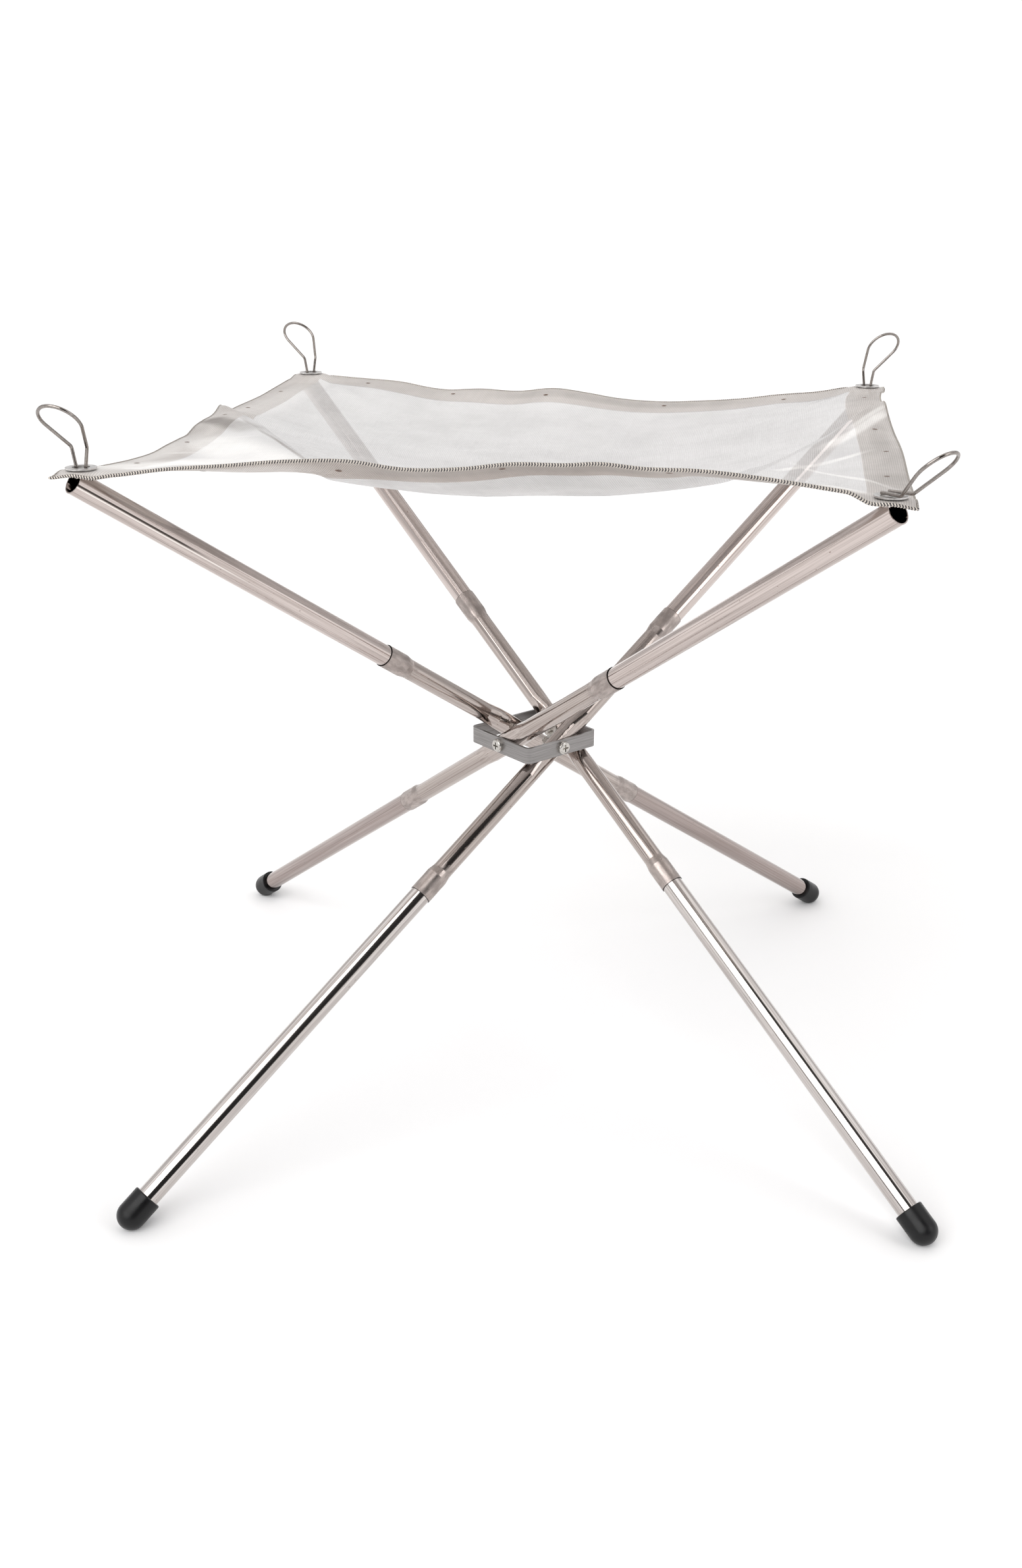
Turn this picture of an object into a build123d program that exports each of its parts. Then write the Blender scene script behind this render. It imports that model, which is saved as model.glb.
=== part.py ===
from build123d import *
import math
import os

# Folding fire pit: four crossed legs screwed inside a small square ring carry a square of
# stainless wire cloth on their upper ends. Each leg is three tubes plugged into each other.
# Frame: millimetres, +Z up, origin on the floor under the ring, cloth edges along X and Y.

# Driving dimensions: tubes
tube_od = 12.7
tube_wall = 0.6
middle_od = 12.0
middle_wall = 0.5
socket_bore = 12.9
socket_od = 13.7
socket_depth = 15.0
socket_neck = 4.5
lean = 56.0  # angle between a leg and the vertical
reach_upper_socket = 117.0  # pivot to the upper socket's lip, along the leg
reach_lower_socket = 127.0
reach_mouth = 336.5  # pivot to the open upper end
reach_cap_rim = 355.5  # pivot to the rubber cap's rim

# Driving dimensions: ring and pivots
ring_side = 56.0
ring_strip = 1.5
ring_height = 10.0
ring_corner = 4.0
waist_thin = 9.6  # pressed section at the pivot, across the ring side
waist_wide = 13.4
waist_half = 16.0
waist_end = 27.0
pivot_play = 0.35
screw_r = 1.95
pivot_hole_r = 2.02
head_r = 4.1
head_height = 2.6
head_round = 1.4
recess_long = 4.6
recess_wide = 0.9
recess_deep = 1.5
nut_flats = 7.0
nut_height = 3.2
nut_hole_r = 2.0
nut_gap = 0.2  # between the pressed waist and the nut
thread_tail = 2.6

# Driving dimensions: feet
cap_od = 16.6
cap_length = 21.0
cap_lip = 17.0  # depth of the cap's hole
cap_fit = 0.02
rim_round = 0.7
foot_flat = 0.6  # worn flat that the cap stands on

# Driving dimensions: cloth, eyelets and clips
cloth_side = 412.0
cloth_thick = 1.2
cloth_sag = 38.0
edge_sag = 3.0
hem_rise = 3.0
eyelet_inset = 11.5
eyelet_r = 7.8
eyelet_bore_r = 4.4
eyelet_barrel_r = 4.9
eyelet_flange = 0.7
eyelet_gap = 0.05
eyelet_lift = 0.15  # clearance between the eyelet and the tube's mouth
seat_margin = 0.5  # flat land of the cloth around an eyelet
cloth_stations = [0, 0.22, 0.44, 0.68, 0.87, 1]  # sections, as parts of half the side
notch_width = 8.4
notch_length = 6.0
wire_r = 0.9
wire_spread = 2.75  # half the gap between a clip's two legs
kink_spread = 4.5
kink_height = 12.5  # above the eyelet's underside
wire_dip = 3.2  # how far the wire ends reach into the tube
spread_height = 2.6  # where a clip's legs begin to part, above the eyelet's underside
loop_r = 11.0
loop_reach = 19.5  # kink to the loop's centre
loop_lean = 43.0
bend_r = 3.0
clip_twist = {"front_left": 30.0}  # turned about its own legs, in degrees
flop = 88.0  # how far the loose clip has fallen outwards
flop_back = 3.5  # its wire ends, inwards of the eyelet's middle
flop_lift = wire_r + 0.03  # the middle of its wires, above the eyelet's top
past = 5.0  # how far cutters run past the surfaces they cut

# Worked-out places
lean_rad = math.radians(lean)
leg_offset = ring_side / 2 - ring_strip - pivot_play - waist_thin / 2
dome_r = cap_od / 2
dome_reach = reach_cap_rim + cap_length - dome_r
pivot_height = dome_reach * math.cos(lean_rad) + dome_r - foot_flat
tube_r = tube_od / 2
shoulder_r = math.sqrt(tube_r**2 - (notch_width / 2) ** 2)
mouth_out = reach_mouth * math.sin(lean_rad) - tube_r * math.cos(lean_rad)
shoulder_z = pivot_height + reach_mouth * math.cos(lean_rad) + shoulder_r * math.sin(lean_rad)
eyelet_base = shoulder_z + eyelet_lift
cloth_z = eyelet_base + eyelet_flange + eyelet_gap  # underside of the cloth at an eyelet
eyelet_top = cloth_z + cloth_thick + eyelet_gap + eyelet_flange
eyelet_xy = cloth_side / 2 - eyelet_inset
eyelet_out = math.hypot(eyelet_xy, eyelet_xy)
clip_out = math.sqrt(eyelet_out**2 - leg_offset**2)  # distance from the pivot, along the leg's plan
leg_turn = math.degrees(math.asin(leg_offset / eyelet_out))
nut_seat = leg_offset - waist_thin / 2 - nut_gap  # distance of the nut's face from the ring's middle
corners = {"front_left": 225, "front_right": 315, "back_right": 45, "back_left": 135}
print("pivot height", round(pivot_height, 3), "leg offset", round(leg_offset, 3))
print("mouth edge out", round(mouth_out, 3), "clip out", round(clip_out, 3))
print("leg turn", round(leg_turn, 4), "cloth z", round(cloth_z, 3))


def flat_dir(angle):
    return Vector(math.cos(math.radians(angle)), math.sin(math.radians(angle)), 0)


class Leg:
    """Directions and pivot of the leg whose top is at a corner of the cloth."""

    def __init__(self, corner):
        heading = corner + leg_turn
        self.out = flat_dir(heading)
        self.side = flat_dir(heading - 90)  # from the ring's middle to this leg
        self.axis = self.out * math.sin(lean_rad) + Vector(0, 0, math.cos(lean_rad))
        self.pivot = self.side * leg_offset + Vector(0, 0, pivot_height)

    def across(self, reach):
        """Plane square to the leg, its X along the ring side's normal."""
        return Plane(origin=self.pivot + self.axis * reach, x_dir=self.side, z_dir=self.axis)

    def along(self):
        """Plane holding the leg's axis as its Y, for turned profiles."""
        return Plane(origin=self.pivot, x_dir=self.side, z_dir=self.side.cross(self.axis))

    def turning_axis(self):
        return Axis(self.pivot, self.axis)

    def screw_plane(self, distance):
        """Plane square to the pivot screw, at a distance from the ring's middle."""
        origin = self.side * distance + Vector(0, 0, pivot_height)
        return Plane(origin=origin, x_dir=self.out, z_dir=self.side)

    def corner_plane(self, height, tilt=0.0, distance=0.0, facing=1, twist=0.0):
        """Plane at the eyelet: X across the leg, Y outwards, Z up, tilted outwards or twisted about Z."""
        tilt_rad = math.radians(tilt)
        up = Vector(0, 0, 1) * math.cos(tilt_rad) + self.out * math.sin(tilt_rad)
        origin = self.side * leg_offset + self.out * (clip_out + distance) + Vector(0, 0, height)
        return Plane(origin=origin, x_dir=(self.side * facing).rotate(Axis.Z, twist), z_dir=up)


def save(node, name):
    node.part.label = name
    export_step(node.part, f"parts/{name}.step")


def socket_profile(sign, reach, inset):
    """Half profile of a tube end opened into a socket, from the waist to the lip."""
    body_r = middle_od / 2 - inset
    bell_r = socket_bore / 2 if inset else socket_od / 2
    neck_out = reach - socket_depth
    neck_in = neck_out - socket_neck
    Polyline(
        (0, sign * waist_end),
        (body_r, sign * waist_end),
        (body_r, sign * neck_in),
        (bell_r, sign * neck_out),
        (bell_r, sign * reach),
        (0, sign * reach),
        close=True,
    )


def middle_shape(leg, inset):
    """Solid of the middle tube's outside, or of its hollow when inset is the wall."""
    sections = ((0, True), (waist_half, True), (waist_end, False))
    with BuildPart() as shape:
        for sign, reach in ((1, reach_upper_socket), (-1, reach_lower_socket)):
            with BuildSketch(leg.along()):
                with BuildLine():
                    socket_profile(sign, reach, inset)
                make_face()
            revolve(axis=leg.turning_axis())
            for pair in zip(sections, sections[1:]):
                for distance, pressed in pair:
                    with BuildSketch(leg.across(sign * distance)):
                        if pressed:
                            Ellipse(waist_thin / 2 - inset, waist_wide / 2 - inset)
                        else:
                            Circle(middle_od / 2 - inset)
                loft()
    return shape.part


def make_middle_tube(name, leg):
    hollow = middle_shape(leg, middle_wall)
    with BuildPart() as tube:
        add(middle_shape(leg, 0))
        add(hollow, mode=Mode.SUBTRACT)
        with BuildSketch(leg.screw_plane(leg_offset)):
            Circle(pivot_hole_r)
        extrude(amount=tube_od, both=True, mode=Mode.SUBTRACT)
    save(tube, f"{name}_middle_tube")


def make_upper_tube(name, leg):
    seat = reach_upper_socket - socket_depth
    with BuildPart() as tube:
        with BuildSketch(leg.across(seat)):
            Circle(tube_r)
            Circle(tube_r - tube_wall, mode=Mode.SUBTRACT)
        extrude(amount=reach_mouth - seat)
        # open notch in the top of the mouth, where the clip's wire ends drop in
        cut_out = mouth_out - notch_length * math.sin(lean_rad)
        notch = Plane(
            origin=leg.pivot + leg.out * cut_out + Vector(0, 0, reach_mouth * math.cos(lean_rad)),
            x_dir=leg.out,
            z_dir=Vector(0, 0, 1),
        )
        with BuildSketch(notch):
            Rectangle(3 * notch_length, notch_width, align=(Align.MIN, Align.CENTER))
        extrude(amount=tube_od, mode=Mode.SUBTRACT)
    save(tube, f"{name}_upper_tube")


def make_lower_tube(name, leg):
    seat = -(reach_lower_socket - socket_depth)
    end = -(reach_cap_rim + cap_lip)
    with BuildPart() as tube:
        with BuildSketch(leg.across(end)):
            Circle(tube_r)
            Circle(tube_r - tube_wall, mode=Mode.SUBTRACT)
        extrude(amount=seat - end)
    save(tube, f"{name}_lower_tube")


def make_foot_cap(name, leg):
    rim = -reach_cap_rim
    rim_in = dome_r - rim_round
    rim_mid = rim_round * (1 - math.sqrt(0.5))
    dip = dome_r * math.sqrt(0.5)
    with BuildPart() as cap:
        with BuildSketch(leg.along()):
            with BuildLine():
                Line((0, rim), (rim_in, rim))
                ThreePointArc((rim_in, rim), (dome_r - rim_mid, rim - rim_mid), (dome_r, rim - rim_round))
                Line((dome_r, rim - rim_round), (dome_r, -dome_reach))
                ThreePointArc((dome_r, -dome_reach), (dip, -dome_reach - dip), (0, -dome_reach - dome_r))
                Line((0, -dome_reach - dome_r), (0, rim))
            make_face()
        revolve(axis=leg.turning_axis())
        with BuildSketch(leg.across(rim - cap_lip)):
            Circle(tube_r + cap_fit)
        extrude(amount=cap_lip + past, mode=Mode.SUBTRACT)
        split(bisect_by=Plane.XY, keep=Keep.TOP)
    save(cap, f"{name}_foot_cap")


def make_pivot_screw(name, leg):
    head_seat = ring_side / 2
    tail = nut_seat - nut_height - thread_tail
    with BuildPart() as screw:
        with BuildSketch(leg.screw_plane(head_seat)):
            Circle(head_r)
        extrude(amount=head_height)
        rim = screw.edges().filter_by(GeomType.CIRCLE).sort_by(Axis((0, 0, 0), leg.side))[-1]
        fillet(rim, head_round)
        with BuildSketch(leg.screw_plane(tail)):
            Circle(screw_r)
        extrude(amount=head_seat - tail)
        with BuildSketch(leg.screw_plane(head_seat + head_height - recess_deep)):
            Rectangle(recess_long, recess_wide)
            Rectangle(recess_wide, recess_long)
        extrude(amount=recess_deep, mode=Mode.SUBTRACT)
    save(screw, f"{name}_pivot_screw")


def make_lock_nut(name, leg):
    with BuildPart() as nut:
        with BuildSketch(leg.screw_plane(nut_seat - nut_height)):
            RegularPolygon(radius=nut_flats / 2, side_count=6, major_radius=False)
            Circle(nut_hole_r, mode=Mode.SUBTRACT)
        extrude(amount=nut_height)
    save(nut, f"{name}_lock_nut")


def make_eyelet(name, leg):
    middle = leg.corner_plane(0).origin
    profile = Plane(origin=middle, x_dir=leg.out, z_dir=leg.side)
    top = eyelet_top
    with BuildPart() as eyelet:
        with BuildSketch(profile):
            with BuildLine():
                Polyline(
                    (eyelet_bore_r, eyelet_base),
                    (eyelet_r, eyelet_base),
                    (eyelet_r, eyelet_base + eyelet_flange),
                    (eyelet_barrel_r, eyelet_base + eyelet_flange),
                    (eyelet_barrel_r, top - eyelet_flange),
                    (eyelet_r, top - eyelet_flange),
                    (eyelet_r, top),
                    (eyelet_bore_r, top),
                    close=True,
                )
            make_face()
        revolve(axis=Axis(middle, (0, 0, 1)))
    save(eyelet, f"{name}_eyelet")


def clip_path(legs_from):
    """Centre line of a clip in its own frame: legs up +Z, loop leaning towards +Y."""
    lean_loop = math.radians(loop_lean)
    run = Vector(0, math.sin(lean_loop), math.cos(lean_loop))
    # where a straight side meets the loop's circle without a corner
    span = math.hypot(kink_spread, loop_reach)
    open_angle = math.atan2(kink_spread, loop_reach)
    touch_angle = math.acos(loop_r / span)
    swing = open_angle + touch_angle
    side_touch = loop_r * math.sin(swing)
    run_touch = loop_reach - loop_r * math.cos(swing)
    kink = Vector(0, 0, kink_height)
    left = [
        Vector(-wire_spread, 0, legs_from),
        Vector(-wire_spread, 0, spread_height),
        Vector(-kink_spread, 0, kink_height),
        Vector(-side_touch, 0, 0) + kink + run * run_touch,
    ]
    right = [Vector(-p.X, p.Y, p.Z) for p in reversed(left)]
    top = kink + run * (loop_reach + loop_r)
    with BuildLine() as path:
        FilletPolyline(*left, radius=bend_r)
        ThreePointArc(left[-1], top, right[0])
        FilletPolyline(*right, radius=bend_r)
    return path.line


def make_clip(name, plane, legs_from):
    wire_end = plane.from_local_coords(Vector(-wire_spread, 0, legs_from))
    with BuildPart() as clip:
        add(plane * clip_path(legs_from))
        with BuildSketch(Plane(origin=wire_end, z_dir=plane.z_dir)):
            Circle(wire_r)
        sweep()
    save(clip, f"{name}_clip")


def cloth_section(y):
    """Band across the cloth at y: an arc sagging between the two side edges."""
    half = cloth_side / 2
    slack = 1 - (y / half) ** 2
    edge_z = cloth_z - edge_sag * slack
    middle_z = cloth_z + hem_rise - (cloth_sag + hem_rise) * slack
    edge_top = edge_z + cloth_thick
    middle_top = middle_z + cloth_thick
    with BuildSketch(Plane(origin=(0, y, 0), x_dir=(1, 0, 0), z_dir=(0, -1, 0))) as section:
        with BuildLine():
            ThreePointArc((-half, edge_z), (0, middle_z), (half, edge_z))
            Line((half, edge_z), (half, edge_top))
            ThreePointArc((half, edge_top), (0, middle_top), (-half, edge_top))
            Line((-half, edge_top), (-half, edge_z))
        make_face()
    return section.sketch


def make_cloth():
    both_sides = [-s for s in reversed(cloth_stations[1:])] + cloth_stations
    with BuildPart() as cloth:
        add([cloth_section(s * cloth_side / 2) for s in both_sides])
        loft()
        # a flat land under each eyelet, so its flanges lie against the cloth
        for corner in corners.values():
            leg = Leg(corner)
            with BuildSketch(leg.corner_plane(cloth_z)):
                Circle(eyelet_r + seat_margin)
            extrude(amount=past, both=True, mode=Mode.SUBTRACT)
            with BuildSketch(leg.corner_plane(cloth_z)):
                Circle(eyelet_r + seat_margin)
                Circle(eyelet_barrel_r + eyelet_gap, mode=Mode.SUBTRACT)
            extrude(amount=cloth_thick)
    save(cloth, "fire_mesh")


def make_ring():
    base = Plane(
        origin=(0, 0, pivot_height - ring_height / 2),
        x_dir=flat_dir(45 + leg_turn),
        z_dir=(0, 0, 1),
    )
    inner = ring_side - 2 * ring_strip
    with BuildPart() as ring:
        with BuildSketch(base):
            RectangleRounded(ring_side, ring_side, ring_corner)
            RectangleRounded(inner, inner, ring_corner - ring_strip, mode=Mode.SUBTRACT)
        extrude(amount=ring_height)
        for corner in corners.values():
            with BuildSketch(Leg(corner).screw_plane(ring_side / 2)):
                Circle(pivot_hole_r)
            extrude(amount=past, both=True, mode=Mode.SUBTRACT)
    save(ring, "hub_ring")


os.makedirs("parts", exist_ok=True)
make_ring()
make_cloth()
for name, corner in corners.items():
    leg = Leg(corner)
    make_middle_tube(name, leg)
    make_upper_tube(name, leg)
    make_lower_tube(name, leg)
    make_foot_cap(name, leg)
    make_pivot_screw(name, leg)
    make_lock_nut(name, leg)
    make_eyelet(name, leg)
    if name == "front_right":
        # this clip has dropped out of its notch and lies over the eyelet, turned round
        make_clip(name, leg.corner_plane(eyelet_top + flop_lift, flop, -flop_back, -1), 0)
    else:
        make_clip(name, leg.corner_plane(eyelet_base, twist=clip_twist.get(name, 0.0)), -wire_dip)
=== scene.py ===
from math import cos, pi, radians, sin, sqrt

import bmesh
import bpy
import numpy as np
from mathutils import Matrix, Vector


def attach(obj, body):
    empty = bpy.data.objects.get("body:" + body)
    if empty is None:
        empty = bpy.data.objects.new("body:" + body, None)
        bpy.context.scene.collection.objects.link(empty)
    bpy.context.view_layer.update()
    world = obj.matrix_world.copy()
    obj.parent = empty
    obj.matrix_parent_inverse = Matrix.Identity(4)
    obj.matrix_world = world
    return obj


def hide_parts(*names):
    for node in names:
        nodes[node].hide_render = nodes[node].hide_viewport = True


# Folding fire pit: four crossed, plugged tube legs screwed into a small square ring,
# and a square of fine steel wire cloth hung from their tops. Lengths here are in mm unless
# a name says otherwise; mesh points are turned to metres when a mesh is made.

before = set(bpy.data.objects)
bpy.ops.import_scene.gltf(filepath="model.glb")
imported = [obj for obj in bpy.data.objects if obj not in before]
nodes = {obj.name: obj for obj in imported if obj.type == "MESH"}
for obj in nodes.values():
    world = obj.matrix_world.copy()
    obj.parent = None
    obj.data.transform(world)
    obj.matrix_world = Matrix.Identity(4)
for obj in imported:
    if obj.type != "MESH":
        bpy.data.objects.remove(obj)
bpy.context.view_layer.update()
mm = 0.001

# the frame's own measures, the same as the solids have
legFrame = {
    "lean": 56.0,  # degrees from upright
    "offset": 21.35,  # of a leg from the ring's middle
    "pivotHeight": 213.595,
    "turn": 4.4517,  # degrees that the legs stand off the diagonals
    "upperLip": 117.0,
    "lowerLip": -127.0,
    "mouth": 336.5,
    "capRim": -355.5,
    "socketDepth": 15.0,
    "corners": {"front_left": 225, "front_right": 315, "back_right": 45, "back_left": 135},
}


def flatDir(angle):
    return Vector((cos(radians(angle)), sin(radians(angle)), 0.0))


def legAxes(corner):
    # pivot in metres, and three unit directions: along the leg, across it level, across it upright
    heading = legFrame["corners"][corner] + legFrame["turn"]
    out, side = flatDir(heading), flatDir(heading - 90)
    lean = radians(legFrame["lean"])
    along = out * sin(lean) + Vector((0, 0, cos(lean)))
    pivot = (side * legFrame["offset"] + Vector((0, 0, legFrame["pivotHeight"]))) * mm
    return pivot, along, side, along.cross(side)


# camera

cameraView = {
    "place": (0.1525, -0.93815, 0.54903),
    "lookDown": 21.169,
    "turnLeft": 10.079,
    "roll": 0.099,
    "focalPixels": 2442.4,
    "imageHeight": 2380,
}


def makeCamera(v):
    down, left, roll = radians(v["lookDown"]), radians(v["turnLeft"]), radians(v["roll"])
    forward = Vector((-sin(left) * cos(down), cos(left) * cos(down), -sin(down)))
    right = Vector((cos(left), sin(left), 0))
    up = right.cross(forward)
    right, up = right * cos(roll) + up * sin(roll), up * cos(roll) - right * sin(roll)
    data = bpy.data.cameras.new("camera")
    data.sensor_fit = "VERTICAL"
    data.sensor_height = 36.0
    data.lens = v["focalPixels"] * 36.0 / v["imageHeight"]
    data.clip_start = 0.05
    camera = bpy.data.objects.new("camera", data)
    turn = Matrix((right, up, -forward)).transposed().to_4x4()
    camera.matrix_world = Matrix.Translation(v["place"]) @ turn
    bpy.context.collection.objects.link(camera)
    bpy.context.scene.camera = camera


makeCamera(cameraView)
print("camera placed")


# shader expressions

class Sock:
    # an output socket; arithmetic on it adds Math nodes to its finish
    def __init__(self, finish, out):
        self.finish, self.out = finish, out

    def math(self, operation, *values, clamp=False):
        return self.finish.node("ShaderNodeMath", {"operation": operation, "use_clamp": clamp}, values)

    def __add__(self, other):
        return self.math("ADD", self, other)

    __radd__ = __add__

    def __sub__(self, other):
        return self.math("SUBTRACT", self, other)

    def __rsub__(self, other):
        return self.math("SUBTRACT", other, self)

    def __mul__(self, other):
        return self.math("MULTIPLY", self, other)

    __rmul__ = __mul__

    def __truediv__(self, other):
        return self.math("DIVIDE", self, other)

    def __rtruediv__(self, other):
        return self.math("DIVIDE", other, self)

    def __pow__(self, other):
        return self.math("POWER", self, other)

    def __neg__(self):
        return self.math("MULTIPLY", self, -1.0)

    def sine(self):
        return self.math("SINE", self)

    def size(self):
        return self.math("ABSOLUTE", self)

    def upTo(self, other):
        return self.math("MINIMUM", self, other)

    def atLeast(self, other):
        return self.math("MAXIMUM", self, other)

    def ramp(self, low, high, lowOut=0.0, highOut=1.0):
        # 0 below low, 1 above high, smooth between, carried to the two outputs
        values = {"Value": self, "From Min": low, "From Max": high, "To Min": lowOut, "To Max": highOut}
        return self.finish.node("ShaderNodeMapRange", {"interpolation_type": "SMOOTHSTEP"}, values)


class Finish:
    # one material: a Principled shader and whatever nodes feed it, or the sky's Background shader
    def __init__(self, name, tree=None, **plain):
        if tree is None:
            self.material = bpy.data.materials.new(name)
            self.material.use_nodes = True
            tree = self.material.node_tree
        self.tree = tree
        self.shader = tree.nodes.get("Principled BSDF") or tree.nodes["Background"]
        for key, value in plain.items():
            self.set(key, value)

    def set(self, key, value):
        names = {"color": "Base Color", "roughness": "Roughness", "metallic": "Metallic", "alpha": "Alpha",
                 "normal": "Normal", "coat": "Coat Weight", "anisotropy": "Anisotropic", "ior": "IOR",
                 "specular": "Specular IOR Level"}
        self.feed(self.shader.inputs[names[key]], value)

    def feed(self, socket, value):
        if isinstance(value, Sock):
            self.tree.links.new(value.out, socket)
        elif hasattr(value, "__len__") and len(value) == 3 and socket.type == "RGBA":
            socket.default_value = (*value, 1.0)
        else:
            socket.default_value = value

    def node(self, kind, settings=None, values=(), out=0):
        made = self.tree.nodes.new(kind)
        for key, value in (settings or {}).items():
            if key == "stops":
                self.setStops(made.color_ramp, value)
            else:
                setattr(made, key, value)
        pairs = values.items() if isinstance(values, dict) else enumerate(values)
        for key, value in pairs:
            self.feed(made.inputs[key], value)
        return Sock(self, made.outputs[out])

    def setStops(self, ramp, stops):
        while len(ramp.elements) < len(stops):
            ramp.elements.new(0.5)
        for element, (place, color) in zip(ramp.elements, stops):
            element.position, element.color = place, (*color, 1.0)

    def place(self):
        return self.node("ShaderNodeTexCoord", out="Object")

    def mapped(self, name):
        return self.node("ShaderNodeUVMap", {"uv_map": name})

    def parts(self, vector):
        made = self.node("ShaderNodeSeparateXYZ", values=(vector,))
        return [Sock(self, out) for out in made.out.node.outputs]

    def vector(self, x, y, z):
        return self.node("ShaderNodeCombineXYZ", values=(x, y, z))

    def dot(self, vector, direction):
        return self.node("ShaderNodeVectorMath", {"operation": "DOT_PRODUCT"}, (vector, tuple(direction)), out="Value")

    def noise(self, vector, scale=1.0, detail=2.0, rough=0.5):
        return self.node("ShaderNodeTexNoise", values={"Vector": vector, "Scale": scale, "Detail": detail, "Roughness": rough})

    def cells(self, vector, scale=1.0):
        return self.node("ShaderNodeTexVoronoi", values={"Vector": vector, "Scale": scale})

    def colors(self, factor, first, second, blend="MIX"):
        settings = {"data_type": "RGBA", "blend_type": blend}
        return self.node("ShaderNodeMix", settings, {0: factor, 6: first, 7: second}, out=2)

    def gradient(self, factor, stops):
        return self.node("ShaderNodeValToRGB", {"stops": stops}, (factor,))

    def bump(self, height, strength, distance):
        values = {"Height": height, "Strength": strength, "Distance": distance}
        self.set("normal", self.node("ShaderNodeBump", values=values, out="Normal"))


# floor, sky and lamps

studio = {
    "floorColor": (0.95, 0.95, 0.955),
    "floorSide": 24.0,  # metres
    "backdrop": (1.12, 1.12, 1.12),
    "skyStrength": 1.4,  # the most that a stop below may ask for
    # sine of the height, brightness: a white band at the horizon, a greyer belt, a bright upper half
    "sky": ((0.0, (1.15, 1.15, 1.15)), (0.105, (1.12, 1.12, 1.12)), (0.17, (0.68, 0.68, 0.68)), (0.42, (0.74, 0.73, 0.73)),
            (0.70, (1.20, 1.20, 1.20)), (0.94, (1.18, 1.16, 1.14)), (1.0, (0.78, 0.70, 0.63))),
    # the unlit room behind the camera: direction, cosines at its soft edge, brightness left in it
    "room": ((0.077, -0.880, 0.469), (0.57, 0.69), 0.04),
    # name: where the light comes from, strength, apparent width in degrees
    "suns": {
        "frontBox": ((-0.295, -0.731, 0.616), 2.2, 58.0),
        "rightFill": ((0.84, -0.27, 0.47), 0.45, 32.0),
    },
}


def newObject(name, data):
    thing = bpy.data.objects.new(name, data)
    bpy.context.collection.objects.link(thing)
    return thing


def makeStudio(v):
    side = v["floorSide"] / 2
    mesh = bpy.data.meshes.new("floor")
    mesh.from_pydata([(-side, -side, 0), (side, -side, 0), (side, side, 0), (-side, side, 0)], [], [(0, 1, 2, 3)])
    floor = newObject("floor", mesh)
    paper = Finish("floorPaper", roughness=0.85)
    soft = paper.noise(paper.place(), 1.3, 2.0)
    paper.set("color", paper.colors(soft, v["floorColor"], tuple(c * 0.99 for c in v["floorColor"])))
    mesh.materials.append(paper.material)
    for name, (source, strength, width) in v["suns"].items():
        data = bpy.data.lights.new(name, "SUN")
        data.energy, data.angle = strength, radians(width)
        lamp = newObject(name, data)
        lamp.rotation_euler = Vector(source).to_track_quat("Z", "Y").to_euler()
    world = bpy.data.worlds.new("sky")
    bpy.context.scene.world = world
    world.use_nodes = True
    sky = Finish("skyLight", world.node_tree)
    direction = sky.node("ShaderNodeTexCoord", out="Generated")
    top = v["skyStrength"]
    bright = sky.gradient(sky.parts(direction)[2], [(place, tuple(c / top for c in color)) for place, color in v["sky"]])
    axis, (edge, full), left = v["room"]
    dark = sky.dot(direction, Vector(axis).normalized()).ramp(edge, full)
    light = sky.colors(dark * (1 - left), bright, (0.0, 0.0, 0.0))
    # the backdrop itself is plain and pale on every side; the belts above only light the steel
    seen = sky.node("ShaderNodeLightPath", out="Is Camera Ray")
    sky.feed(sky.shader.inputs["Color"], sky.colors(seen, light, tuple(c / top for c in v["backdrop"])))
    sky.feed(sky.shader.inputs["Strength"], top)
    bpy.context.scene.view_settings.view_transform = "Standard"


makeStudio(studio)
print("studio lit")


# tubes

tubeLook = {
    "steel": {"upper": (0.66, 0.585, 0.555), "middle": (0.54, 0.48, 0.45), "lower": (0.66, 0.62, 0.60)},
    "brownTintAndShade": (0.44, 0.375, 0.355),  # lower tubes of the legs below: browner, and darker as painted shade on these two rear tubes
    "tintShadeLegs": ("front_left", "front_right"),
    "streakDark": (0.42, 0.38, 0.36),  # share of the colour left in a dark streak
    "streakAmount": 0.6,
    "seams": ((0.8, 0.55), (2.1, 0.4)),  # angles of the drawn lines round the tube, and their strength
    "seamWidth": 0.11,
    "seamColor": (0.07, 0.055, 0.05),
    "lipGapShade": (0.03, 0.026, 0.024),
    "pitColor": (0.16, 0.10, 0.07),
    "roughness": (0.06, 0.15),
    "dull": (0.46, 0.40, 0.375),  # where a tube was heated and opened
    "dullRoughness": (0.26, 0.44),
    # painted reflections near a tube's mouth, dark bands and a white highlight line: angle of the line's plane, half
    # its breadth, strength, colour, faint end
    "paintedMouthReflections": {"front_left": ((1.43, 0.65, 0.92, (0.03, 0.025, 0.022), 232.0), (1.24, 0.45, 0.7, (0.95, 0.90, 0.86), 190.0),
                                  (2.25, 3.2, 0.45, (0.22, 0.18, 0.155), 205.0))},
}


def legSpace(finish, corner):
    # a point's way along the leg from the pivot, and its two offsets across it, in mm
    pivot, along, side, upright = legAxes(corner)
    place = finish.node("ShaderNodeVectorMath", {"operation": "SUBTRACT"}, (finish.place(), tuple(pivot)))
    return [finish.dot(place, d / mm) for d in (along, side, upright)]


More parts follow.
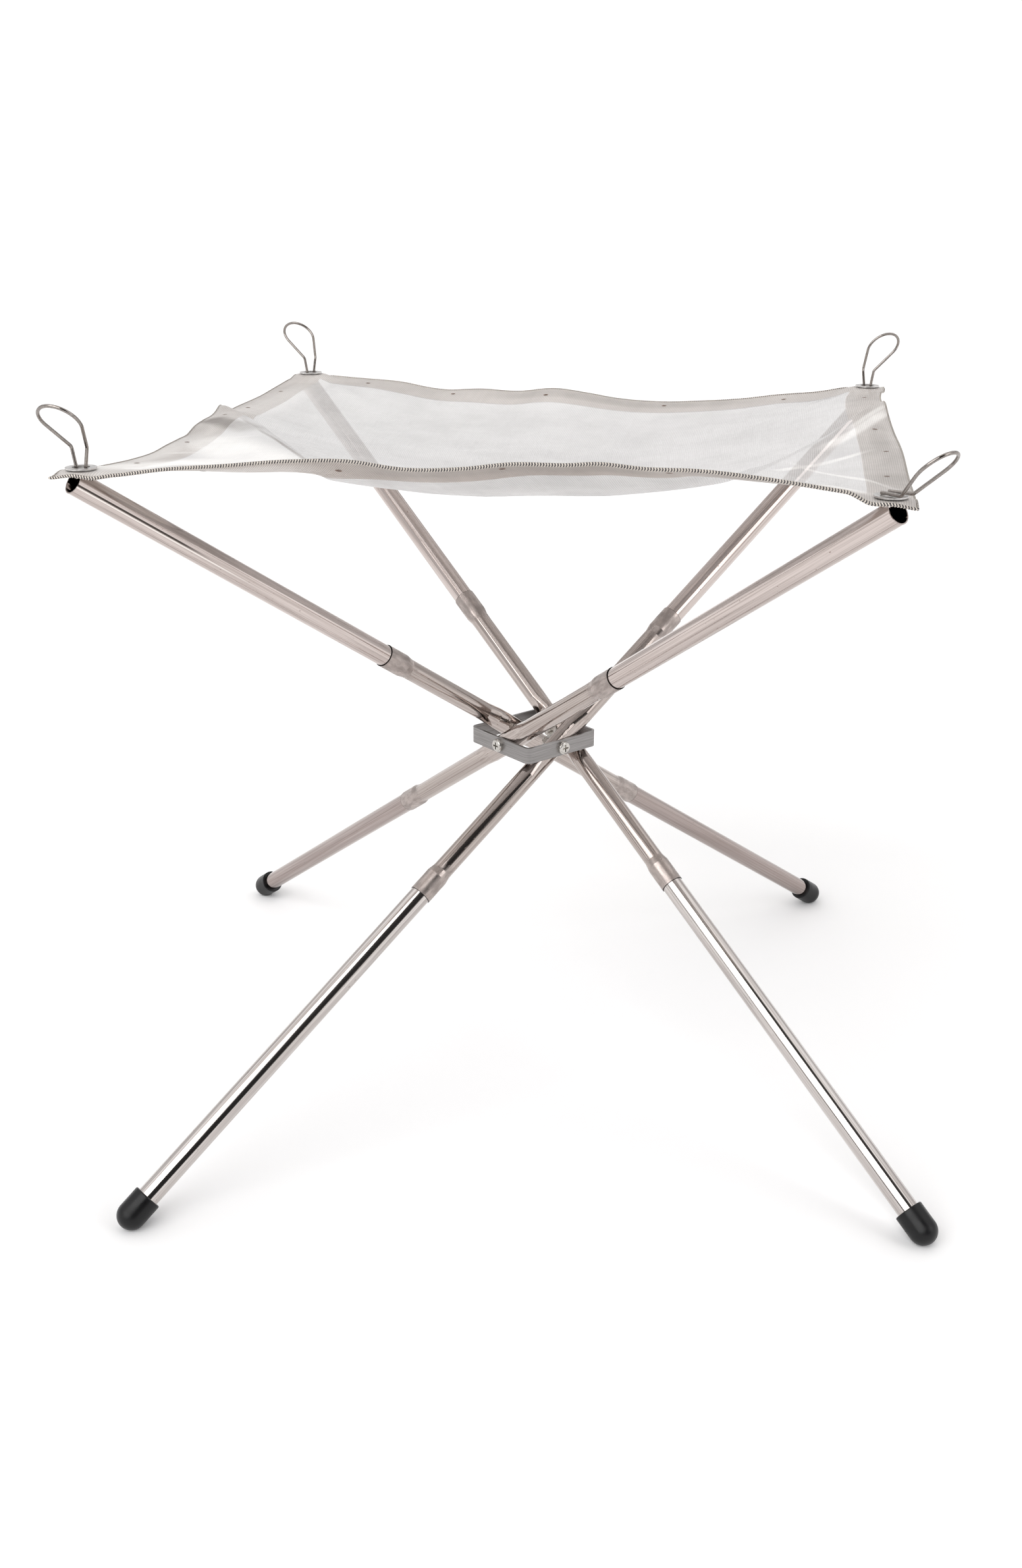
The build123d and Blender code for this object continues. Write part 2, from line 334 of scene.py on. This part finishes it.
def tubeFinish(corner, kind, v):
    # long streaks are noise stretched a hundredfold along the leg; pits are rare small noise peaks
    f = Finish(f"{kind}Steel_{corner}", metallic=1.0)
    run, across, upright = legSpace(f, corner)
    seed = 40.0 * list(legFrame["corners"]).index(corner) + {"upper": 3, "middle": 7, "lower": 11}[kind]
    fine = f.noise(f.vector(across * 1.6 + seed, upright * 1.6, run * 0.012), 1.0, 3.0, 0.6)
    broad = f.noise(f.vector(across * 0.45, upright * 0.45 + seed, run * 0.006), 1.0, 2.0)
    streak = (fine.ramp(0.38, 0.62) * 0.6 + broad.ramp(0.35, 0.65) * 0.4) * v["streakAmount"]
    # the two rear lower tubes take a browner, darker colour: a brown tint plus painted shade
    clean = v["brownTintAndShade"] if kind == "lower" and corner in v["tintShadeLegs"] else v["steel"][kind]
    color = f.colors(streak, clean, tuple(c * k for c, k in zip(clean, v["streakDark"])))
    pit = f.noise(f.vector(across * 0.9, upright * 0.9 + seed, run * 0.35), 1.0, 2.0, 0.6).ramp(0.70, 0.76)
    color = f.colors(pit * 0.75, color, v["pitColor"])
    for angle, strength in v["seams"]:
        turn = angle + seed
        off = (across * cos(turn) + upright * sin(turn)).size()
        line = off.ramp(v["seamWidth"] * 0.4, v["seamWidth"], 1.0, 0.0) * fine.ramp(0.42, 0.56)
        color = f.colors(line * strength, color, v["seamColor"])
    if kind == "upper":
        # painted reflection lines near the mouth: dark bands and a white painted highlight
        for angle, breadth, strength, shade, faint in v["paintedMouthReflections"].get(corner, ()):
            off = (across * cos(angle) + upright * sin(angle)).size()
            near = run.ramp(faint, legFrame["mouth"], 0.0, 1.0)
            line = off.ramp(breadth * 0.6, breadth, 1.0, 0.0) * near.ramp(0.0, 0.35)
            color = f.colors(line * strength, color, shade)
    rough = fine.ramp(0.3, 0.7, *v["roughness"]) + pit * 0.2
    height = fine * 0.6 + broad * 0.4 - pit * 0.8
    if kind == "middle":
        # the opened socket ends are dull and mottled, and a crimp ring stands at their neck
        upperNeck = legFrame["upperLip"] - legFrame["socketDepth"] - 4.5
        lowerNeck = -legFrame["lowerLip"] - legFrame["socketDepth"] - 4.5
        blotch = f.noise(f.vector(across * 0.25, upright * 0.25, run * 0.12 + seed), 1.0, 4.0, 0.65)
        edge = blotch * 14.0 - 7.0
        dull = (run + edge).ramp(upperNeck - 6.0, upperNeck + 3.0)
        dull = dull.atLeast((edge - run).ramp(lowerNeck - 6.0, lowerNeck + 3.0))
        color = f.colors(dull * 0.85, color, f.colors(blotch.ramp(0.35, 0.65), v["dull"], tuple(c * 0.66 for c in v["dull"])))
        rough = rough * (1 - dull) + dull * blotch.ramp(0.3, 0.7, *v["dullRoughness"])
        height = height + dull * blotch * 1.2
        # painted shade: the socket's end and its last 0.2 mm turn dark, as in the gap round the inner tube
        lip = run.ramp(legFrame["upperLip"] - 0.22, legFrame["upperLip"] - 0.1)
        lip = lip.atLeast((-run).ramp(-legFrame["lowerLip"] - 0.22, -legFrame["lowerLip"] - 0.1))
        color = f.colors(lip, color, v["lipGapShade"])
    f.set("color", color)
    f.set("roughness", rough)
    f.bump(height, 0.12, 0.0002)
    return f.material


def paint(name, material):
    # every material slot of a finished solid gets the one finish
    for slot in nodes[name].material_slots:
        slot.material = material


for corner in legFrame["corners"]:
    for kind in ("upper", "middle", "lower"):
        paint(f"{corner}_{kind}_tube", tubeFinish(corner, kind, tubeLook))
print("tubes finished")


# rubber caps

capLook = {"color": (0.0045, 0.0045, 0.005), "worn": (0.017, 0.0165, 0.016), "roughness": (0.26, 0.42), "specular": 0.3}


def capFinish(v):
    f = Finish("blackRubber", metallic=0.0, specular=v["specular"])
    place = f.place()
    grain = f.noise(place, 900.0, 3.0, 0.6)
    cloud = f.noise(place, 90.0, 3.0)
    height = f.parts(place)[2]
    dust = height.ramp(0.0, 0.009, 0.55, 0.0) * cloud.ramp(0.35, 0.7)
    f.set("color", f.colors(dust, v["color"], v["worn"]))
    f.set("roughness", cloud.ramp(0.3, 0.7, *v["roughness"]))
    f.bump(grain * 0.7 + cloud * 0.3, 0.2, 0.0002)
    return f.material


# ring, screws, nuts, eyelets and clips

steelLook = {
    "ring": (0.34, 0.325, 0.32),
    "ringBrush": (0.23, 0.22, 0.215),
    "screw": (0.62, 0.595, 0.56),
    "eyelet": (0.70, 0.685, 0.67),
    "wire": (0.33, 0.30, 0.28),
}


def ringFinish(v):
    # brush lines run level round the strip: fine in height, long around it
    f = Finish("brushedStrip", metallic=1.0)
    x, y, z = f.parts(f.place())
    lines = f.noise(f.vector(x * 40.0, y * 40.0, z * 5200.0), 1.0, 3.0, 0.6)
    cloud = f.noise(f.place(), 70.0, 3.0)
    f.set("color", f.colors(lines.ramp(0.35, 0.65), v["ring"], v["ringBrush"]))
    f.set("roughness", lines.ramp(0.3, 0.7, 0.30, 0.44) + cloud * 0.06)
    f.bump(lines, 0.25, 0.0001)
    return f.material


def plainSteel(name, color, roughness, grainScale):
    f = Finish(name, metallic=1.0)
    cloud = f.noise(f.place(), grainScale, 4.0, 0.6)
    f.set("color", f.colors(cloud.ramp(0.35, 0.7), color, tuple(c * 0.72 for c in color)))
    f.set("roughness", cloud.ramp(0.3, 0.7, roughness - 0.06, roughness + 0.1))
    f.bump(cloud, 0.15, 0.0001)
    return f.material


rubber, strip = capFinish(capLook), ringFinish(steelLook)
nickel = plainSteel("nickelScrew", steelLook["screw"], 0.24, 600.0)
rolled = plainSteel("rolledEyelet", steelLook["eyelet"], 0.34, 500.0)
spring = plainSteel("springWire", steelLook["wire"], 0.15, 900.0)
paint("hub_ring", strip)
for corner in legFrame["corners"]:
    paint(f"{corner}_foot_cap", rubber)
    paint(f"{corner}_pivot_screw", nickel)
    paint(f"{corner}_lock_nut", nickel)
    paint(f"{corner}_eyelet", rolled)
    paint(f"{corner}_clip", spring)
print("small steel parts finished")


# wire cloth

cloth = {
    "half": 206.0,
    "level": 407.2,  # of the cloth between the eyelets' flanges
    "cut": (0.42, 0.42),  # metres
    "grid": 310,
    "eyelet": 194.5,
    "sag": 58.0,
    "shelf": 9.0,  # how far from an edge the bowl starts
    "wallReach": {"front": 60.0, "back": 70.0, "left": 72.0, "right": 74.0},  # how gently it deepens
    # place along the edge and height there, over the level of the corners
    "frontEdge": ((-206, -1), (-174, 0), (-148, 3.4), (-116, 5.8), (-85, 8.4), (-57, 9), (-32, 6.4), (-2, 7.8), (20, 10.5),
                  (48, 11), (61, 12), (83, 10.5), (108, 10.5), (136, 8.8), (163, 5.9), (190, 2.2), (206, -1)),
    "backEdge": ((-206, -1), (-165, -3.2), (-126, -6), (-97, -9.5), (-71, -8.2), (-45, -9), (-18, -6.3), (5, -8.8), (25, -12),
                 (60, -14), (82, -12.9), (110, -10.5), (130, -8), (164, -5), (181, -1.8), (206, 0)),
    "leftEdge": ((-206, -1), (-189, -0.5), (-167, -1.2), (-148, -2.2), (-122, -3), (-105, -2.4), (-82, -2.6), (-66, -3.2),
                 (-50, -1.8), (-30, -2.8), (-8, -5), (8, -5), (27, -3), (54, -6.2), (77, -6.6), (127, -6.4), (183, -2.4), (206, 0)),
    "rightEdge": ((-206, -1), (-120, -2), (-40, -1), (10, -2), (96, 1), (140, -1), (206, 0)),
    # place along the left edge and how far it is pulled in
    "leftIn": ((-206, 0), (-179, 12), (-140, 19), (-105, 20), (-65, 17), (-34, 14), (0, 10), (24, 5), (50, 0), (100, -2),
               (160, -2), (206, 0)),
    "frontIn": 7.0,
    "backIn": 9.0,
    "rightIn": ((-206, 0), (-130, 0.4), (-60, 0.2), (10, 1.6), (70, 3.9), (135, 4.7), (180, 2.6), (206, 0)),
    # extra fall of the front and back hems, by place along them
    "frontFall": ((-206, 0), (-165, 0.5), (-133, 3.3), (-120, 4.6), (-100, 5.5), (-85, 6.5), (-58, 5), (-32, 2.4), (-11, 1),
                  (20, -1.5), (42, -2), (80, -1), (130, 0.5), (170, 0.5), (206, 0)),
    "backFall": ((-206, 0), (-150, 2.5), (-97, 4), (-71, 5), (-10, 4), (60, 5), (110, 5), (160, 5), (206, 0)),
    "cornerDroop": 3.0,
    "hem": 22.0,
    "hemGap": 0.45,
    "pitch": (1.15, 0.62),  # of the weave along x and y
    "wireColor": (0.675, 0.66, 0.655),
    "bandColor": (0.71, 0.665, 0.635),  # of the sheet over the hem
    "hemColor": (0.50, 0.44, 0.40),
    "gapShade": 0.66,  # how dark the weave is between its wires
    # colours of the painted highlights and the painted shade in the streaks below
    "paintedHighlightColor": (1.0, 0.98, 0.955),
    "shadeColor": (0.23, 0.20, 0.18),
    # painted light along creases: two ends in mm on the flat cloth, breadth, strength (above 0: painted highlight;
    # below 0: darker, painted shade)
    "paintedStreaks": (
        ((-204, -30), (-164, -64), 13.0, -0.95), ((-166, -56), (-96, -168), 1.8, -0.8), ((-204, -50), (-197, -110), 12.0, -0.35),
        ((-206, -190), (-140, -130), 28.0, 0.95), ((-196, -80), (-110, -170), 28.0, 0.8), ((-190, -198), (-70, -199), 8.0, 0.4), ((-203, -160), (-196, -50), 13.0, 0.45), ((-204, -128), (-146, -100), 4.0, 0.6), ((-200, -86), (-160, -78), 3.0, 0.5),
        ((-60, -197), (75, -197), 9.0, -0.35), ((20, -193), (170, -196), 7.0, -0.30),
        ((206, 62), (160, -58), 5.5, 0.8), ((206, 76), (178, 4), 3.0, 0.6), ((197, 30), (196, -66), 8.0, -0.25),
        ((138, -118), (190, -50), 3.5, 0.65), ((146, -92), (202, -172), 3.5, 0.55), ((120, -168), (190, -188), 5.0, 0.5),
        ((206, -58), (192, -196), 15.0, -0.28), ((-60, 198), (120, 198), 8.0, -0.30), ((-192, 40), (-182, 200), 16.0, 0.30),
    ),
    "cover": (0.75, 0.90),  # share of the sheet and of the hem that hides what is behind
    # fold lines that cut the corners off the bowl: two ends in mm on the flat cloth, the crest's
    # height, its breadth towards the bowl and towards the corner, and the depth kept outside it
    "folds": (
        ((-206, 26), (-75, -206), 6.5, 4.0, 30.0, 0.40),
        ((206, 96), (92, -206), 4.5, 5.0, 20.0, 0.45),
        ((206, 120), (118, 206), 1.0, 14.0, 30.0, 0.5),
        ((-126, 206), (-206, 118), 1.0, 14.0, 30.0, 0.5),
    ),
    "foldReach": 42.0,
    # creases that fan out from a corner: corner signs, angle from the edge along x, start, length, height
    "creases": (
        (-1, -1, 34.0, 60.0, 1.6), (-1, -1, 52.0, 70.0, 1.2), (-1, -1, 18.0, 90.0, 1.0), (-1, -1, 68.0, 55.0, 0.8),
        (1, -1, 30.0, 80.0, 1.6), (1, -1, 48.0, 95.0, 1.5), (1, -1, 64.0, 85.0, 1.4), (1, -1, 15.0, 70.0, 0.9),
        (1, -1, 78.0, 70.0, 1.0),
        (1, 1, 52.0, 110.0, 2.2), (1, 1, 66.0, 90.0, 1.5), (1, 1, 30.0, 70.0, 1.0),
        (-1, 1, 40.0, 70.0, 1.2), (-1, 1, 62.0, 60.0, 0.9),
    ),
}


def softStep(a):
    a = np.clip(a, 0.0, 1.0)
    return a * a * (3.0 - 2.0 * a)


def softPast(a, turn):
    # 0 below 0 and a above it, rounded over about one turn
    return turn * np.log1p(np.exp(np.clip(a / turn, -30, 30)))


def through(points, x):
    # a smooth curve through given points: cubics whose slopes come from the neighbouring points
    at, height = np.array(points, float).T
    slope = np.gradient(height, at)
    k = np.clip(np.searchsorted(at, x) - 1, 0, len(at) - 2)
    w = at[k + 1] - at[k]
    a = np.clip((x - at[k]) / w, 0, 1)
    return ((2 * a ** 3 - 3 * a ** 2 + 1) * height[k] + (a ** 3 - 2 * a ** 2 + a) * w * slope[k]
            + (3 * a ** 2 - 2 * a ** 3) * height[k + 1] + (a ** 3 - a ** 2) * w * slope[k + 1])


def rise(distance, reach):
    return 1 - np.exp(-distance / reach)


def clothPoints(v, s, t):
    # the four edges follow their given curves, which fade inwards; the bowl's depth is a product
    # of rises 1 - exp(-distance/reach) from the edges and the fold lines; crests and fans of
    # creases are added on top; each corner stays level around its eyelet
    half, shelf = v["half"], v["shelf"]
    x0, y0 = half * s, half * t
    dFront, dBack = half * (1 + t), half * (1 - t)
    dLeft, dRight = half * (1 + s), half * (1 - s)
    z = (through(v["frontEdge"], x0) * np.exp(-dFront / 40) + through(v["backEdge"], x0) * np.exp(-dBack / 60)
         + through(v["leftEdge"], y0) * np.exp(-dLeft / 45) + through(v["rightEdge"], y0) * np.exp(-dRight / 45))
    for fall, d in (("frontFall", dFront), ("backFall", dBack)):
        z = z - through(v[fall], x0) * rise(d, 12) * np.exp(-(d / 75) ** 2)
    reach = v["wallReach"]
    depth = np.ones_like(z)
    for name, d in (("front", dFront), ("back", dBack), ("left", dLeft), ("right", dRight)):
        depth = depth * rise(softPast(d - shelf, 5.0) - softPast(-shelf, 5.0), reach[name])
    crest = np.zeros_like(z)
    for (xa, ya), (xb, yb), height, breadth, skirt, kept in v["folds"]:
        length = sqrt((xb - xa) ** 2 + (yb - ya) ** 2)
        inX, inY = -(yb - ya) / length, (xb - xa) / length
        if inX * -xa + inY * -ya < 0:
            inX, inY = -inX, -inY
        d = inX * (x0 - xa) + inY * (y0 - ya)
        run = ((x0 - xa) * (xb - xa) + (y0 - ya) * (yb - ya)) / length ** 2
        depth = depth * (kept + (1 - kept) * rise(softPast(d, 3.0), v["foldReach"]))
        side = np.where(d > 0, np.exp(-(d / breadth) ** 2), np.exp(-(d / skirt) ** 2))
        crest = crest + height * side * softStep(run * 6 + 0.6) * softStep((1 - run) * 3.5)
    z = z - v["sag"] * depth + crest
    for sx, sy, angle, length, height in v["creases"]:
        ca, sa = cos(radians(angle)), sin(radians(angle))
        px, py = v["eyelet"] - x0 * sx, v["eyelet"] - y0 * sy
        run, off = px * ca + py * sa, -px * sa + py * ca
        width = 2.0 + 0.075 * np.clip(run, 0, None)
        z = z + height * np.exp(-(off / width) ** 2) * softStep((run - 12) / 25) * softStep((length * 1.6 - run) / (length * 1.1))
    # short uneven ripples across the whole sheet
    z = z + 0.35 * np.sin(x0 / 23 + 1.3 * np.sin(y0 / 41)) * np.sin(y0 / 29 + 0.8 * np.sin(x0 / 37))
    x = x0 + through(v["leftIn"], y0) * (1 - s) / 2 - through(v["rightIn"], y0) * (1 + s) / 2
    y = y0 + v["frontIn"] * (1 - s * s) * (1 - t) / 2 - v["backIn"] * (1 - s * s) * (1 + t) / 2
    for sx in (-1, 1):
        for sy in (-1, 1):
            r = np.hypot(x0 - sx * v["eyelet"], y0 - sy * v["eyelet"])
            level = 1 - softStep((r - 8.5) / 15.0)
            outside = np.maximum(x0 * sx - v["eyelet"], 0) + np.maximum(y0 * sy - v["eyelet"], 0)
            droop = -v["cornerDroop"] * softStep((r - 8.4) / 8.0) * softStep(outside / 14.0)
            z = z * (1 - level) + droop * level
            x = x * (1 - level) + x0 * level
            y = y * (1 - level) + y0 * level
    return np.stack([x, y, z + v["level"]], -1)


def clothNormals(v, s, t):
    # unit normal from the differences of neighbouring points
    e = 0.002
    du = clothPoints(v, s + e, t) - clothPoints(v, s - e, t)
    dv = clothPoints(v, s, t + e) - clothPoints(v, s, t - e)
    n = np.cross(du, dv)
    return n / np.linalg.norm(n, axis=-1, keepdims=True)


def gridMesh(name, points, uv=None, closeU=False, closeV=False, keep=None):
    # a mesh of quads over a (rows, columns, 3) array of points in mm, with an optional map
    rows, cols = points.shape[:2]
    index = np.arange(rows * cols).reshape(rows, cols)
    if closeU:
        index = np.concatenate([index, index[:1]], 0)
    if closeV:
        index = np.concatenate([index, index[:, :1]], 1)
    quads = np.stack([index[:-1, :-1], index[:-1, 1:], index[1:, 1:], index[1:, :-1]], -1).reshape(-1, 4)
    if keep is not None:
        quads = quads[keep(points.reshape(-1, 3)[quads].mean(1))]
    used, flat = np.unique(quads, return_inverse=True)
    flat = flat.reshape(-1)
    mesh = bpy.data.meshes.new(name)
    mesh.vertices.add(len(used))
    mesh.vertices.foreach_set("co", (points.reshape(-1, 3)[used] * mm).ravel())
    mesh.loops.add(len(flat))
    mesh.loops.foreach_set("vertex_index", flat)
    mesh.polygons.add(len(quads))
    mesh.polygons.foreach_set("loop_start", np.arange(len(quads)) * 4)
    mesh.polygons.foreach_set("use_smooth", np.ones(len(quads), bool))
    mesh.update(calc_edges=True)
    if uv is not None:
        layer = mesh.uv_layers.new(name="clothMap")
        layer.data.foreach_set("uv", uv.reshape(-1, 2)[used][flat].ravel())
    mesh.validate()
    return newObject(name, mesh)


def offEyelets(centres):
    # leaves a hole in the cloth for each eyelet's barrel
    free = np.ones(len(centres), bool)
    for sx in (-1, 1):
        for sy in (-1, 1):
            free &= np.hypot(centres[:, 0] - sx * cloth["eyelet"], centres[:, 1] - sy * cloth["eyelet"]) > 5.4
    return free


def weaveFinish(name, v, color, band, cover, twill):
    # a plain weave: warp and weft wires are the crests of two squared sines, and where neither
    # runs the cloth is see-through; twill adds slanting ribs
    f = Finish(name, metallic=0.35)
    u, w, _ = f.parts(f.mapped("clothMap"))
    reach = pi * 2 * v["half"]
    warp, weft = (u * (reach / v["pitch"][0])).sine() ** 2, (w * (reach / v["pitch"][1])).sine() ** 2
    ribs = ((u + w) * (reach / v["pitch"][0])).sine() ** 2
    wires = warp.atLeast(weft) * (1 - twill) + ribs * twill
    cloud = f.noise(f.mapped("clothMap"), 9.0, 4.0, 0.6)
    x, y = (u - 0.5) * (2 * v["half"]), (w - 0.5) * (2 * v["half"])
    bright, dim = cloud * 0.0, cloud * 0.0
    # painted highlights (bright) and painted shade (dim) along creases, each a stroke between two points
    for (xa, ya), (xb, yb), breadth, strength in v["paintedStreaks"]:
        length = sqrt((xb - xa) ** 2 + (yb - ya) ** 2)
        ex, ey = (xb - xa) / length, (yb - ya) / length
        off = ((x - xa) * -ey + (y - ya) * ex).size() * (1 / breadth)
        run = ((x - xa) * ex + (y - ya) * ey) / length
        ends = run.ramp(-0.12, 0.15) * run.ramp(0.7, 1.1, 1.0, 0.0)
        stroke = off.ramp(0.25, 1.0, abs(strength), 0.0) * ends * cloud.ramp(0.25, 0.6, 0.6, 1.0)
        if strength > 0:
            bright = bright.atLeast(stroke)
        else:
            dim = dim.atLeast(stroke)
    lanes = f.noise(f.vector(u * 3.0, w * 160.0, 0.0), 1.0, 2.0) + f.noise(f.vector(u * 120.0, w * 2.0, 3.0), 1.0, 2.0)
    tone = cloud.ramp(0.3, 0.75) * 0.5 + (1 - wires) * 0.5
    edge = x.size().atLeast(y.size()).ramp(v["half"] - v["hem"] - 0.8, v["half"] - v["hem"] + 0.2)
    color, gap = (f.colors(edge, tuple(k * c for c in color), tuple(k * c for c in band)) for k in (1.0, v["gapShade"]))
    color = f.colors(tone, color, gap)
    # painted shade, then painted highlight, over the weave's colour
    color = f.colors(dim, color, v["shadeColor"])
    f.set("color", f.colors(bright, color, v["paintedHighlightColor"]))
    f.set("roughness", cloud.ramp(0.3, 0.7, 0.34, 0.46))
    f.set("alpha", wires.ramp(0.2, 0.8, cover - 0.14, cover + 0.10) + (lanes - 1.0) * 0.10)
    f.bump(warp - weft * 0.5 + ribs * twill, 0.35, 0.00015)
    return f.material


def makeCloth(v):
    side = np.linspace(-1, 1, v["grid"] + 1)
    s, t = np.meshgrid(side, side, indexing="ij")
    uv = np.stack([(s + 1) / 2, (t + 1) / 2], -1)
    sheet = gridMesh("clothSheet", clothPoints(v, s, t), uv, keep=offEyelets)
    sheet.data.materials.append(weaveFinish("wireCloth", v, v["wireColor"], v["bandColor"], v["cover"][0], 0.0))
    # hem: a second layer under the edge band, mitred at the corners
    around = np.linspace(-1, 1, 400)
    across = np.linspace(0, 1, 14)
    band = v["hem"] / v["half"]
    rows = []
    for quarter in range(4):
        a, b = np.meshgrid(around[:-1], across, indexing="ij")
        p, q = a * (1 - b * band), -(1 - b * band)
        for _ in range(quarter):
            p, q = -q, p
        rows.append(np.stack([p, q], -1))
    st = np.concatenate(rows, 0)
    points = clothPoints(v, st[..., 0], st[..., 1]) - v["hemGap"] * clothNormals(v, st[..., 0], st[..., 1])
    hem = gridMesh("clothHem", points, (st + 1) / 2, closeU=True, keep=offEyelets)
    hem.data.materials.append(weaveFinish("hemCloth", v, v["hemColor"], v["hemColor"], v["cover"][1], 0.8))
    for piece in (sheet, hem):
        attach(piece, "cloth")
    return sheet, hem


braid = {
    "radius": 0.92,
    "sides": (1.0, 0.6, 0.5, 0.45),  # share of the radius at the front, right, back and left
    "stitch": 1.35,  # length of one plait
    "relief": 0.12,
    "steps": 8000,
    "facets": 8,
    # colour on the plaits' crests, and painted shade in the grooves between them
    "light": (0.62, 0.57, 0.51),
    "dark": (0.055, 0.05, 0.055),
}


def makeBraid(v, c):
    # a cord along the cloth's whole edge: a round section whose surface is lifted by
    # relief * sin(turns), the turns running in chevrons that meet on its outer side
    a = np.linspace(0, 4, v["steps"], endpoint=False)
    leg, part = np.floor(a).astype(int), (a % 1) * 2 - 1
    p, q = part, -np.ones_like(part)
    for quarter in range(1, 4):
        p, q = np.where(leg >= quarter, -q, p), np.where(leg >= quarter, p, q)
    middle = clothPoints(c, p, q)
    ahead = np.roll(middle, -1, 0) - np.roll(middle, 1, 0)
    ahead /= np.linalg.norm(ahead, axis=1, keepdims=True)
    across = np.cross(ahead, clothNormals(c, p * 0.999, q * 0.999))
    across /= np.linalg.norm(across, axis=1, keepdims=True)
    above = np.cross(across, ahead)
    length = np.concatenate([[0], np.cumsum(np.linalg.norm(np.diff(middle, axis=0), axis=1))])
    angle = np.linspace(0, 2 * pi, v["facets"], endpoint=False)
    share = np.interp(a, np.add.outer(np.arange(4), (0.04, 0.96)).ravel(), np.repeat(v["sides"], 2), period=4)
    slant = np.abs((angle[None, :] + pi) % (2 * pi) - pi) / pi
    turns = length[:, None] / v["stitch"] + slant
    lift = (v["radius"] + v["relief"] * np.sin(2 * pi * turns)) * share[:, None]
    points = (middle[:, None, :] + lift[..., None] * (np.cos(angle)[None, :, None] * across[:, None, :]
              + np.sin(angle)[None, :, None] * above[:, None, :]))
    uv = np.stack([turns, np.broadcast_to(slant, turns.shape)], -1)
    cord = gridMesh("edgeBraid", points, uv, closeU=True, closeV=True)
    f = Finish("braidWire", metallic=0.5)
    turn = f.parts(f.mapped("clothMap"))[0]
    wave = (turn * (2 * pi)).sine()
    cloud = f.noise(f.place(), 900.0, 2.0)
    # painted shade: the colour turns dark where the surface dips between plaits
    f.set("color", f.colors((wave * 0.5 + cloud).ramp(0.2, 0.75), v["dark"], v["light"]))
    f.set("roughness", cloud.ramp(0.3, 0.7, 0.30, 0.46))
    cord.data.materials.append(f.material)
    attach(cord, "cloth")
    return cord


welds = {
    "places": (-0.66, -0.30, 0.08, 0.43, 0.76),  # along each side, from -1 to 1
    "inset": 9.5,
    "radius": 1.6,
    "lift": 0.14,
    "brown": (0.055, 0.022, 0.012),
    "edge": (0.22, 0.14, 0.10),
}


def makeWelds(v, c):
    # small spot-weld dimples on both faces of the hem: discs of three rings, dished in the middle
    rings, spokes = np.array([0.0, 0.55, 1.0]), 12
    r, a = np.meshgrid(rings, np.linspace(0, 2 * pi, spokes, endpoint=False), indexing="ij")
    spots = []
    for quarter in range(4):
        for n, along in enumerate(v["places"]):
            p, q = along + 0.03 * sin(5.0 * n + 2.0 * quarter), -(1 - (v["inset"] + 1.5 * sin(3.0 * n + quarter)) / c["half"])
            for _ in range(quarter):
                p, q = -q, p
            spots.append((p, q))
    points, quads, uv = [], [], []
    for n, (p, q) in enumerate(spots):
        for face in (1, -1):
            s = p + face * r * np.cos(a) * v["radius"] / c["half"]
            t = q + r * np.sin(a) * v["radius"] * 0.8 / c["half"]
            gap = v["lift"] * (0.4 + 0.6 * np.sin(pi * r)) + (0.0 if face > 0 else c["hemGap"])
            start = sum(len(k) for k in points)
            points.append((clothPoints(c, s, t) + face * gap[..., None] * clothNormals(c, s, t)).reshape(-1, 3))
            index = np.arange(r.size).reshape(r.shape) + start
            after = np.roll(index, -1, 1)
            quads.append(np.stack([index[:-1], index[1:], after[1:], after[:-1]], -1).reshape(-1, 4))
            uv.append(np.stack([r, a], -1).reshape(-1, 2))
    points, quads, uv = (np.concatenate(k) for k in (points, quads, uv))
    mesh = bpy.data.meshes.new("weldMarks")
    mesh.from_pydata((points * mm).tolist(), [], quads.tolist())
    layer = mesh.uv_layers.new(name="clothMap")
    layer.data.foreach_set("uv", uv[quads.ravel()].ravel())
    # each disc's innermost ring becomes one point
    shell = bmesh.new()
    shell.from_mesh(mesh)
    bmesh.ops.remove_doubles(shell, verts=shell.verts, dist=1e-6)
    shell.to_mesh(mesh)
    shell.free()
    marks = newObject("weldMarks", mesh)
    f = Finish("weldMark", metallic=0.3)
    out = f.parts(f.mapped("clothMap"))[0]
    f.set("color", f.colors(out.ramp(0.3, 1.0), v["brown"], v["edge"]))
    f.set("roughness", out.ramp(0.0, 1.0, 0.35, 0.6))
    mesh.materials.append(f.material)
    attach(marks, "cloth")
    return marks


sheet, hem = makeCloth(cloth)
cord = makeBraid(braid, cloth)
marks = makeWelds(welds, cloth)
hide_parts("fire_mesh")
print("cloth woven")
